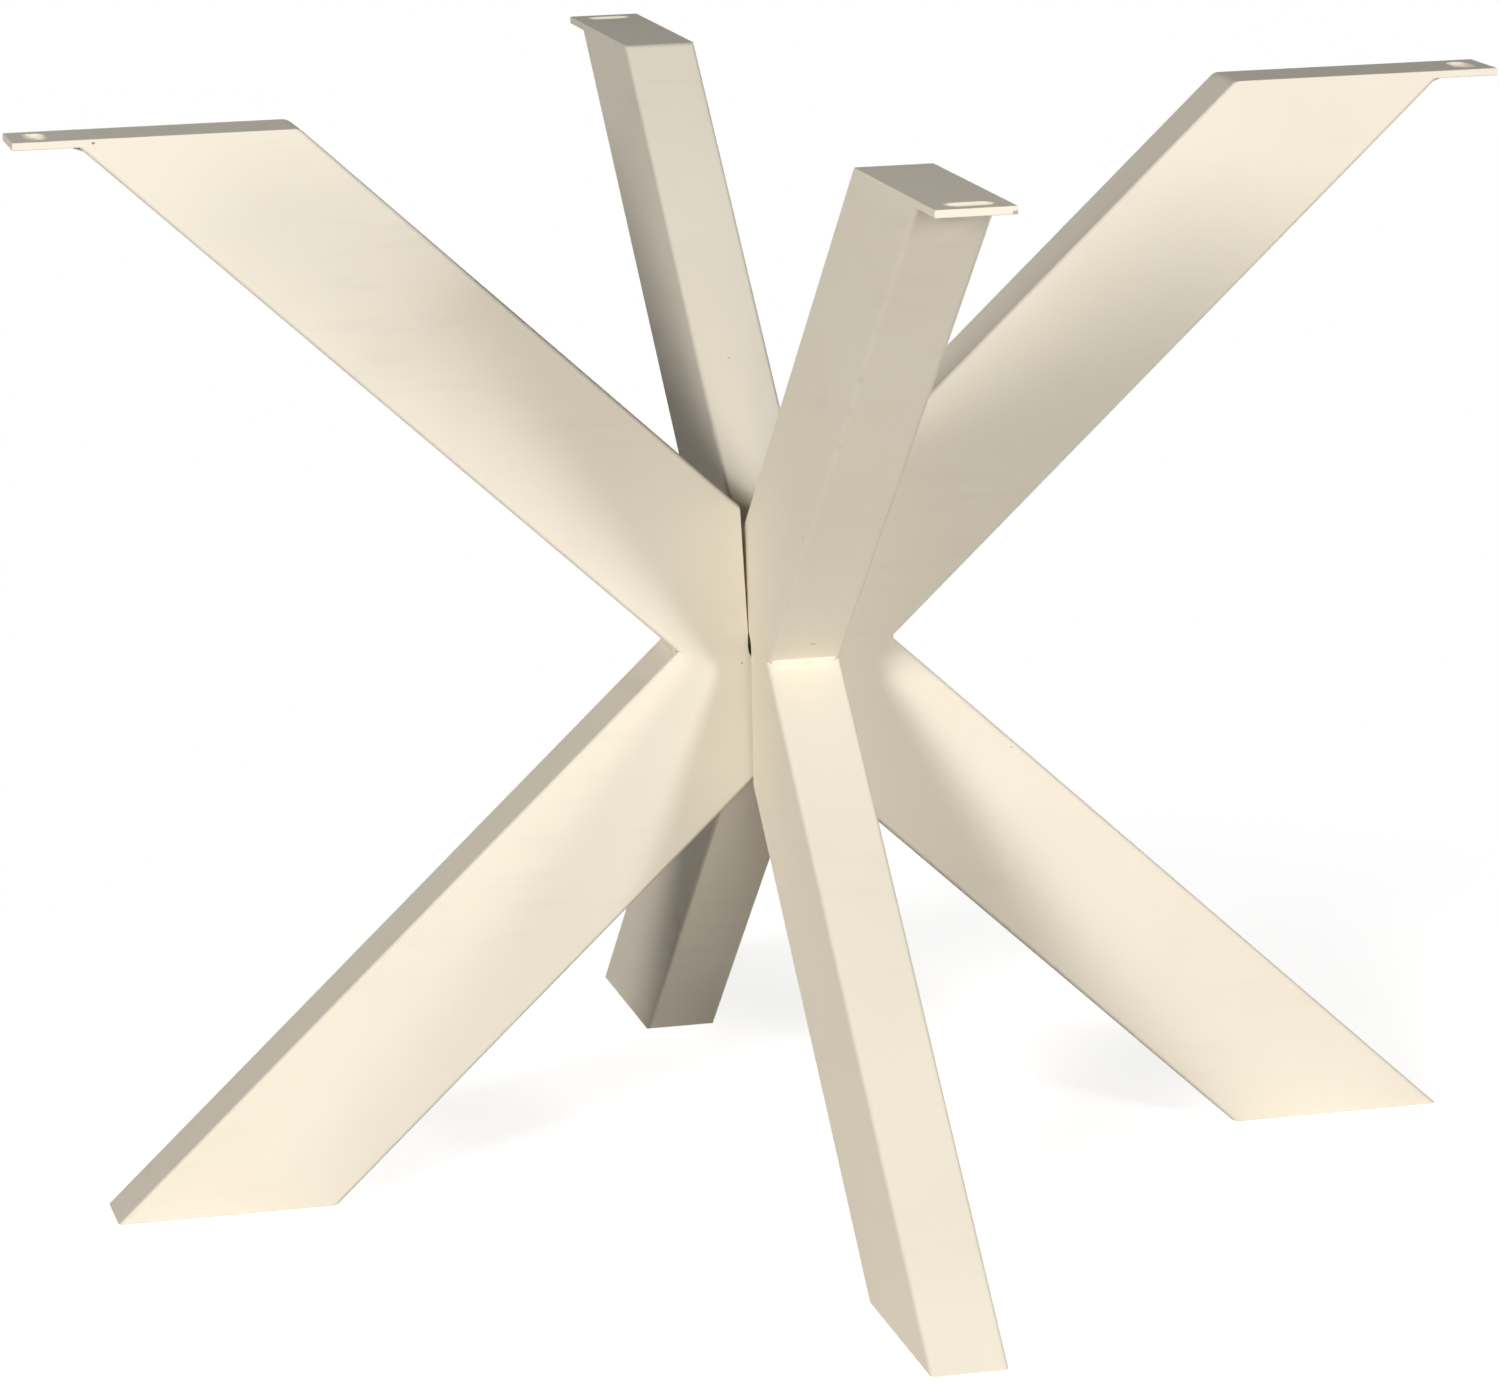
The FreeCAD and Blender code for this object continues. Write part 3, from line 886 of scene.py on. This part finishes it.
@dataclass
class WeldBead:
    """A fillet bead in a corner, laid in overlapping ripples."""

    corner: Vector
    first_wall: Vector
    second_wall: Vector
    leg: float
    crown: float = 0.0003
    ripple_pitch: float = 0.0024
    ripple_depth: float = 0.00016
    ripple_level: float = 0.5
    ripple_curve: float = 0.9
    end_taper: float = 0.0030
    end_share: float = 0.45
    sides: int = 12
    rings: int = 110

    def add_to(self, mesh: bmesh.types.BMesh, half_length: float) -> None:
        """Add the bead to a mesh.

        Args:
            mesh: The mesh that takes it.
            half_length: How far it runs to each side of the frame's middle plane.
        """
        grid = bmesh.ops.create_grid(
            mesh, x_segments=self.rings, y_segments=self.sides, size=1.0
        )["verts"]
        ends = []
        for vert in grid:
            step = round((vert.co.y + 1) / 2 * self.sides) % self.sides
            if abs(vert.co.x) > 1 - TOUCHING:
                ends.append(vert)
            vert.co = self.surface(step, vert.co.x * half_length, half_length)
        caps = [edge for edge in mesh.edges if edge.verts[0] in ends and edge.verts[1] in ends]
        bmesh.ops.remove_doubles(mesh, verts=grid, dist=TOUCHING)
        bmesh.ops.holes_fill(mesh, edges=[edge for edge in caps if edge.is_valid])
        bmesh.ops.recalc_face_normals(mesh, faces=mesh.faces)

    def surface(self, step: int, along: float, half_length: float) -> Vector:
        """Return a point on the bead.

        Args:
            step: Which side of its section: 0 is the corner itself.
            along: The distance from the frame's middle plane.
            half_length: The distance to the bead's ends.

        Returns:
            The point, in the frame's own axes.
        """
        to_end = half_length - abs(along)
        fullness = min(1.0, to_end / self.end_taper)
        leg = self.leg * (self.end_share + (1 - self.end_share) * math.sqrt(fullness))
        point = self.corner.copy()
        if step:
            share = (step - 1) / (self.sides - 2)
            point += leg * ((1 - share) * self.first_wall + share * self.second_wall)
            outward = (self.first_wall + self.second_wall).normalized()
            bulge = 4 * share * (1 - share)
            phase = along / self.ripple_pitch + self.ripple_curve * bulge
            ripple = abs(math.sin(math.pi * phase)) - self.ripple_level
            point += outward * bulge * (self.crown + self.ripple_depth * ripple) * fullness
        point.y = along
        return point


@dataclass(frozen=True)
class FlushSeam:
    """A weld across a broad face, ground flush: a band that is proud by a hair."""

    half_band: float = 0.0028
    cope: float = 0.0009
    proud: float = 0.000014
    sunk: float = 0.000016
    root: float = 0.0003
    end_squareness: int = 8
    side_squareness: int = 2
    pieces_along: int = 24
    pieces_across: int = 6

    def add_to(
        self, mesh: bmesh.types.BMesh, start: Vector, stop: Vector, face: int, half_width: float
    ) -> None:
        """Add the band to a mesh.

        Args:
            mesh: The mesh that takes it.
            start: Where its middle line starts.
            stop: Where its middle line stops.
            face: 1 on the frame's far face and -1 on its near face.
            half_width: How far that face is from the frame's middle plane.
        """
        run = stop - start
        bmesh.ops.create_grid(
            mesh, x_segments=self.pieces_along, y_segments=self.pieces_across, size=1.0
        )
        direction = run.normalized()
        sideways = Vector((-direction.z, 0, direction.x))
        for vert in mesh.verts:
            along, across = vert.co.x, vert.co.y
            inner = (1 - along ** self.end_squareness) * (1 - across ** self.side_squareness)
            level = half_width + self.proud * inner - self.sunk * (1 - inner)
            middle = (start + stop) / 2 + run / 2 * along
            vert.co = middle + sideways * across * self.half_band + Vector((0, face * level, 0))
        grown = bmesh.ops.extrude_face_region(mesh, geom=mesh.faces[:])
        deep = [item for item in grown["geom"] if isinstance(item, bmesh.types.BMVert)]
        bmesh.ops.translate(mesh, vec=(0, -face * self.root, 0), verts=deep)
        bmesh.ops.recalc_face_normals(mesh, faces=mesh.faces)


@dataclass(frozen=True)
class View:
    """The photograph's viewpoint, in metres, degrees and pixels of its own frame."""

    place: Place = (-0.9230, -3.7427, 1.2353)
    yaw: float = 13.564
    pitch: float = -13.301
    roll: float = -1.058
    focal_pixels: float = 5923.0
    centre_pixels: Pair = (748.4, 690.0)
    image_pixels: Pair = (1500.0, 1382.0)
    sensor_width: float = 36.0

    def build(self) -> None:
        """Make the camera the scene's own."""
        data = bpy.data.cameras.new("studio_camera")
        wide, high = self.image_pixels
        data.sensor_fit = "HORIZONTAL"
        data.sensor_width = self.sensor_width
        data.lens = self.focal_pixels / wide * self.sensor_width
        data.shift_x = (wide / 2 - self.centre_pixels[0]) / wide
        data.shift_y = (self.centre_pixels[1] - high / 2) / wide
        camera = bpy.data.objects.new("studio_camera", data)
        camera.matrix_world = Matrix.Translation(self.place) @ self.aim().to_4x4()
        bpy.context.scene.collection.objects.link(camera)
        bpy.context.scene.camera = camera

    def aim(self) -> Matrix:
        """Work out the camera's turn.

        Returns:
            Its right, its up and its back as columns.
        """
        yaw, pitch, roll = (math.radians(angle) for angle in (self.yaw, self.pitch, self.roll))
        ahead = Vector((
            math.sin(yaw) * math.cos(pitch), math.cos(yaw) * math.cos(pitch), math.sin(pitch)
        ))
        level = Vector((math.cos(yaw), -math.sin(yaw), 0))
        upright = level.cross(ahead)
        right = math.cos(roll) * level + math.sin(roll) * upright
        up = -math.sin(roll) * level + math.cos(roll) * upright
        return Matrix((right, up, -ahead)).transposed()


@dataclass(frozen=True)
class SoftBox:
    """One soft studio lamp, aimed at the crossing."""

    name: str
    azimuth: float
    elevation: float
    distance: float
    width: float
    height: float
    watts: float
    colour: Colour = (1.0, 1.0, 1.005)

    def build(self, target: Vector) -> None:
        """Hang the lamp.

        Args:
            target: What it is aimed at.
        """
        azimuth, elevation = math.radians(self.azimuth), math.radians(self.elevation)
        outward = Vector((
            math.sin(azimuth) * math.cos(elevation),
            -math.cos(azimuth) * math.cos(elevation),
            math.sin(elevation),
        ))
        data = bpy.data.lights.new(self.name, "AREA")
        data.shape = "RECTANGLE"
        data.size, data.size_y = self.width, self.height
        data.energy = self.watts
        data.color = self.colour
        lamp = bpy.data.objects.new(self.name, data)
        lamp.location = target + outward * self.distance
        lamp.rotation_euler = (-outward).to_track_quat("-Z", "Y").to_euler()
        bpy.context.scene.collection.objects.link(lamp)


@dataclass(frozen=True)
class Studio:
    """A plain pale floor, a white surround and soft lamps."""

    floor_radius: float = 60.0
    floor_sides: int = 96
    sheet_colour: Colour = (0.66, 0.63, 0.59)
    floor_colour: Colour = (0.20, 0.20, 0.20)
    sheet_edge: Pair = (0.55, 1.15)
    floor_lift: float = 0.84
    floor_fade: Pair = (0.55, 1.0)
    ambient: float = 0.02
    ambient_colour: Colour = (1.0, 1.0, 1.0)
    lamps: tuple[SoftBox, ...] = (
        SoftBox("left_key", -41.5, 19.0, 5.0, 0.7, 1.5, 178.0),
        SoftBox("right_key", 24.5, 15.0, 5.0, 0.6, 0.8, 78.0, (0.95, 1.0, 1.09)),
        SoftBox("right_low", 40.0, 6.0, 5.0, 0.7, 0.8, 59.0, (1.0, 0.95, 0.86)),
        SoftBox("back_fill", 180.0, 3.0, 7.0, 1.7, 1.5, 47.0),
    )

    def build(self) -> None:
        """Set up the floor, the surround and the lamps."""
        bpy.context.scene.view_settings.view_transform = "Standard"
        self.build_floor()
        self.build_surround()
        target = Vector((0, 0, Tube().middle))
        for lamp in self.lamps:
            lamp.build(target)

    def build_floor(self) -> None:
        """Lay the floor: a disc that keeps the base's soft shadow and is white further out."""
        mesh = bmesh.new()
        bmesh.ops.create_circle(
            mesh, cap_ends=True, segments=self.floor_sides, radius=self.floor_radius
        )
        data = bpy.data.meshes.new("studio_floor")
        mesh.to_mesh(data)
        mesh.free()
        data.materials.append(self.floor_material())
        floor = bpy.data.objects.new("studio_floor", data)
        bpy.context.scene.collection.objects.link(floor)

    def floor_material(self) -> bpy.types.Material:
        """Build the floor's material: white to the camera, pale to the light, clear from below.

        Returns:
            The material.
        """
        material = bpy.data.materials.new("studio_floor")
        material.use_nodes = True
        material.node_tree.nodes.clear()
        wiring = Wiring(material.node_tree)
        where = wiring.add("TexCoord").outputs["Object"]
        distance = wiring.add("VectorMath", {0: where}, operation="LENGTH").outputs["Value"]
        edge = wiring.ramp(distance, *self.sheet_edge)
        tone = wiring.blend(edge, (*self.sheet_colour, 1.0), (*self.floor_colour, 1.0))
        bounce = wiring.add("BsdfDiffuse", {"Color": tone}).outputs[0]
        matt = wiring.add("BsdfDiffuse", {"Color": (*self.sheet_colour, 1.0)}).outputs[0]
        lift = wiring.add("Emission", {"Strength": self.floor_lift}).outputs[0]
        near = wiring.add("AddShader", {0: matt, 1: lift}).outputs[0]
        white = wiring.add("Emission", {"Strength": 1.0}).outputs[0]
        far = wiring.ramp(distance, *self.floor_fade)
        seen = wiring.add("MixShader", {0: far, 1: near, 2: white}).outputs[0]
        rays = wiring.add("LightPath").outputs
        sharp = wiring.math("MAXIMUM", rays["Is Glossy Ray"], rays["Is Transmission Ray"])
        direct = wiring.math("MAXIMUM", rays["Is Camera Ray"], sharp)
        shown = wiring.add("MixShader", {0: direct, 1: bounce, 2: seen}).outputs[0]
        clear = wiring.add("BsdfTransparent").outputs[0]
        below = wiring.add("NewGeometry").outputs["Backfacing"]
        surface = wiring.add("MixShader", {0: below, 1: shown, 2: clear}).outputs[0]
        wiring.add("OutputMaterial", {"Surface": surface})
        return material

    def build_surround(self) -> None:
        """Make the world white to the camera and a dim ambient light to the base."""
        world = bpy.data.worlds.new("studio_surround")
        world.use_nodes = True
        world.node_tree.nodes.clear()
        wiring = Wiring(world.node_tree)
        rays = wiring.add("LightPath").outputs
        sharp = wiring.math("MAXIMUM", rays["Is Glossy Ray"], rays["Is Transmission Ray"])
        direct = wiring.math("MAXIMUM", rays["Is Camera Ray"], sharp)
        dim = wiring.add("Background", {
            "Color": (*self.ambient_colour, 1.0), "Strength": self.ambient,
        }).outputs[0]
        white = wiring.add("Background", {"Color": (1, 1, 1, 1), "Strength": 1.0}).outputs[0]
        surface = wiring.add("MixShader", {0: direct, 1: dim, 2: white}).outputs[0]
        wiring.add("OutputWorld", {"Surface": surface})
        bpy.context.scene.world = world


def main() -> None:
    """Dress both frames, then set up the studio."""
    logging.basicConfig(level=logging.INFO, format="%(message)s")
    coat = PowderCoat().build()
    for lie in Lie:
        CrossFrame(lie, coat).build()
    Studio().build()
    View().build()


if __name__ == "__main__":
    main()
